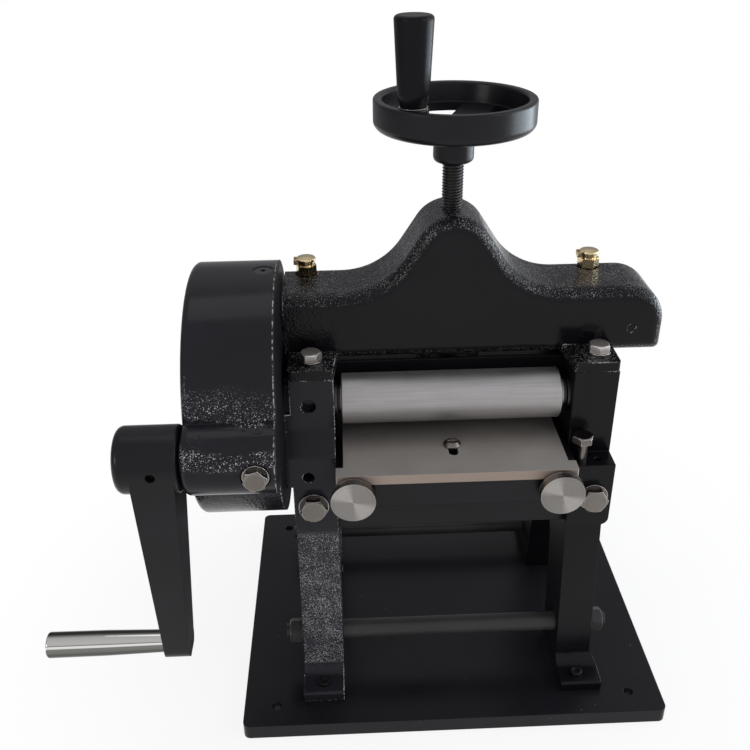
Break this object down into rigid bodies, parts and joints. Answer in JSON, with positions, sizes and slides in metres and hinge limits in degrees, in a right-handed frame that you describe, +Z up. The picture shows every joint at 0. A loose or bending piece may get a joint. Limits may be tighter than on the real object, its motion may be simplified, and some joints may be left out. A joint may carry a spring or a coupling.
{
  "type": "leather splitting machine",
  "caption": "Hand-cranked bench leather splitter: geared feed roller over a steel table, blade on a handwheel screw, cast side frames on a base plate.",
  "frame": {"origin": "middle of the base plate's underside", "axes": "+X to the operator's right along the roller, +Y away from the operator, +Z up"},
  "size_m": [0.4368, 0.2623, 0.478],
  "materials": {
    "base_gloss": "gloss black enamel",
    "casting_black": "gloss black hammered enamel",
    "smooth_black": "smooth black enamel",
    "rod_black": "black enamelled steel",
    "handle_black": "moulded black plastic",
    "roller_steel": "ground satin steel",
    "table_steel": "polished steel plate",
    "knob_aluminium": "turned aluminium",
    "zinc_steel": "zinc plated steel",
    "brass": "machined brass",
    "bronze": "bearing bronze",
    "grip_chrome": "polished chrome",
    "screw_steel": "oiled steel",
    "gear_steel": "machined steel",
    "blade_steel": "ground tool steel"
  },
  "bodies": {
    "frame": {"base_plate": "base_gloss", "foot_screws": "screw_steel", "left_side_frame": "casting_black", "right_side_frame": "casting_black", "front_tie_rod": "rod_black", "rear_tie_rod": "rod_black", "tie_rod_nuts": "rod_black", "tie_rod_washers": "rod_black", "bridge": "casting_black", "screw_nut": "bronze", "bridge_bolts": "zinc_steel", "bridge_washers": "zinc_steel", "front_bolts": "zinc_steel", "front_washers": "zinc_steel", "ledge_bolt": "zinc_steel", "upper_roller_bushes": "screw_steel", "table_bracket": "smooth_black", "bracket_screws": "screw_steel", "table_screw": "zinc_steel", "left_oil_cup": "brass", "right_oil_cup": "brass", "gear_case_back": "casting_black", "case_screws": "screw_steel", "gear_cover": "casting_black", "cover_screws": "screw_steel", "cover_bolt": "zinc_steel", "cover_washer": "zinc_steel", "crank_bushes": "screw_steel"},
    "roller": {"upper_roller": "roller_steel", "roller_gear": "gear_steel", "roller_gear_key": "gear_steel", "gear_end_washer": "zinc_steel", "gear_end_screw": "screw_steel"},
    "crank": {"crank_shaft": "gear_steel", "crank_pinion": "gear_steel", "crank_arm": "smooth_black", "crank_set_screw": "screw_steel", "grip_spindle": "zinc_steel"},
    "grip": {"crank_grip": "grip_chrome"},
    "carriage": {"blade_carriage": "smooth_black", "screw_retainer": "rod_black", "retainer_screws": "rod_black", "splitting_blade": "blade_steel", "blade_clamp": "gear_steel", "blade_screws": "screw_steel"},
    "screw": {"adjusting_screw": "screw_steel", "wheel_pin": "zinc_steel", "screw_cap": "zinc_steel", "handwheel": "smooth_black", "handle_spindle": "zinc_steel"},
    "handle": {"wheel_handle": "handle_black"},
    "table": {"table_plate": "table_steel"},
    "left_lid": {"left_oil_lid": "brass"},
    "right_lid": {"right_oil_lid": "brass"},
    "left_knob": {"left_thumb_screw": "knob_aluminium"},
    "right_knob": {"right_thumb_screw": "knob_aluminium"}
  },
  "joints": [
    {"name": "roller_spin", "type": "hinge", "parent": "frame", "child": "roller", "pos_m": [0, -0.032, 0.232], "axis": [1, 0, 0], "continuous": true},
    {"name": "crank_spin", "type": "hinge", "parent": "frame", "child": "crank", "pos_m": [-0.14, -0.11153, 0.24064], "axis": [1, 0, 0], "continuous": true},
    {"name": "grip_spin", "type": "hinge", "parent": "crank", "child": "grip", "pos_m": [-0.24, -0.11153, 0.08964], "axis": [1, 0, 0], "continuous": true},
    {"name": "carriage_slide", "type": "slide", "parent": "frame", "child": "carriage", "axis": [0, 0, 1], "range_m": [-0.0015, 0.0045]},
    {"name": "screw_turn", "type": "hinge", "parent": "carriage", "child": "screw", "pos_m": [0.0014, 0.006, 0.4], "axis": [0, 0, 1], "range_deg": [-270, 810]},
    {"name": "handle_spin", "type": "hinge", "parent": "screw", "child": "handle", "pos_m": [-0.02673, -0.01803, 0.44], "axis": [0, 0, 1], "continuous": true},
    {"name": "table_slide", "type": "slide", "parent": "frame", "child": "table", "axis": [0, 1, 0], "range_m": [0, 0.008]},
    {"name": "left_lid_hinge", "type": "hinge", "parent": "frame", "child": "left_lid", "pos_m": [-0.1057, 0.0215, 0.3126], "axis": [0, -1, 0], "range_deg": [0, 100]},
    {"name": "right_lid_hinge", "type": "hinge", "parent": "frame", "child": "right_lid", "pos_m": [0.0938, 0.0215, 0.3126], "axis": [0, -1, 0], "range_deg": [0, 100]},
    {"name": "left_knob_turn", "type": "hinge", "parent": "frame", "child": "left_knob", "pos_m": [-0.0701, -0.094, 0.1905], "axis": [0, -1, 0], "range_deg": [-90, 720]},
    {"name": "right_knob_turn", "type": "hinge", "parent": "frame", "child": "right_knob", "pos_m": [0.0679, -0.094, 0.1905], "axis": [0, -1, 0], "range_deg": [-90, 720]}
  ],
  "couplings": [
    {"joint": "crank_spin", "follows": "roller_spin", "ratio": -4.7143},
    {"joint": "carriage_slide", "follows": "screw_turn", "m_per_rad": 0.00031831}
  ]
}
